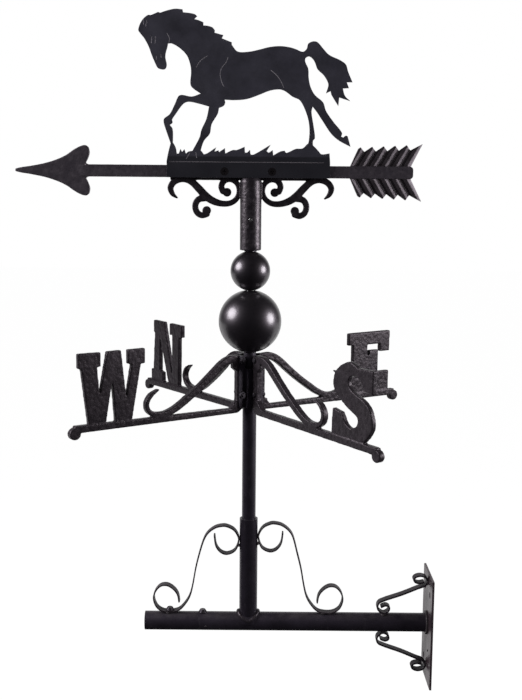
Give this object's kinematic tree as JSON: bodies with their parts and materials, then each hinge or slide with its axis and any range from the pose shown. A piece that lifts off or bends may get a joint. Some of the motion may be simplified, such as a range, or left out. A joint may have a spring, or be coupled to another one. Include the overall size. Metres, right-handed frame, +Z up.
{
  "type": "weathervane",
  "caption": "Black wall-mounted weathervane: a cut-out horse on an arrow turns on a ball-bearing mast over compass arms, held by a scrolled bracket.",
  "frame": {"origin": "centre of the wall plate's back face", "axes": "+X into the wall, +Z up along the mast, +Y away from the side that is looked at; the arrow points to -X at rest"},
  "size_m": [0.5678, 0.4511, 0.916],
  "materials": {
    "plate_black": "satin black paint on a flat steel plate",
    "tube_black": "smooth satin black coating on steel tube",
    "strip_black": "satin black coating on bent steel strip",
    "cast_black": "rough matt black paint on a sand-cast surface",
    "ball_black": "smooth half-gloss black coating on a spun ball",
    "sheet_black": "smooth satin black coating on flat sheet, with pale engraved lines",
    "fixing_black": "black steel fixings",
    "bare_steel": "bare turned steel"
  },
  "bodies": {
    "bracket": {"wall_plate": "plate_black", "bracket_tube": "tube_black", "tube_end_disc": "tube_black", "mast_sleeve": "tube_black", "left_scroll": "strip_black", "right_scroll": "strip_black", "upper_wall_scroll": "strip_black", "lower_wall_scroll": "strip_black", "scroll_bolt": "fixing_black", "tube_bolt": "fixing_black", "sleeve_clamp_screw": "fixing_black"},
    "mast": {"mast_tube": "tube_black", "mast_plug": "fixing_black", "hub": "tube_black", "north_arm": "cast_black", "east_arm": "cast_black", "south_arm": "cast_black", "west_arm": "cast_black", "arm_screws": "fixing_black", "arm_nuts": "fixing_black", "spindle": "bare_steel", "lower_spacer": "tube_black", "large_ball": "ball_black", "small_ball": "ball_black", "neck_spacer": "tube_black", "bearing_ball": "bare_steel"},
    "vane": {"scroll_bracket": "cast_black", "bearing_pad": "bare_steel", "retaining_screw": "bare_steel", "arrow_head_half": "cast_black", "arrow_tail_half": "cast_black", "horse_sheet": "sheet_black", "sheet_screws": "fixing_black", "sheet_nuts": "fixing_black"}
  },
  "joints": [
    {"name": "mast_turn", "type": "hinge", "parent": "bracket", "child": "mast", "pos_m": [-0.255, 0, 0.155], "axis": [0, 0, 1], "continuous": true},
    {"name": "vane_spin", "type": "hinge", "parent": "mast", "child": "vane", "pos_m": [-0.255, 0, 0.5268], "axis": [0, 0, 1], "continuous": true}
  ]
}
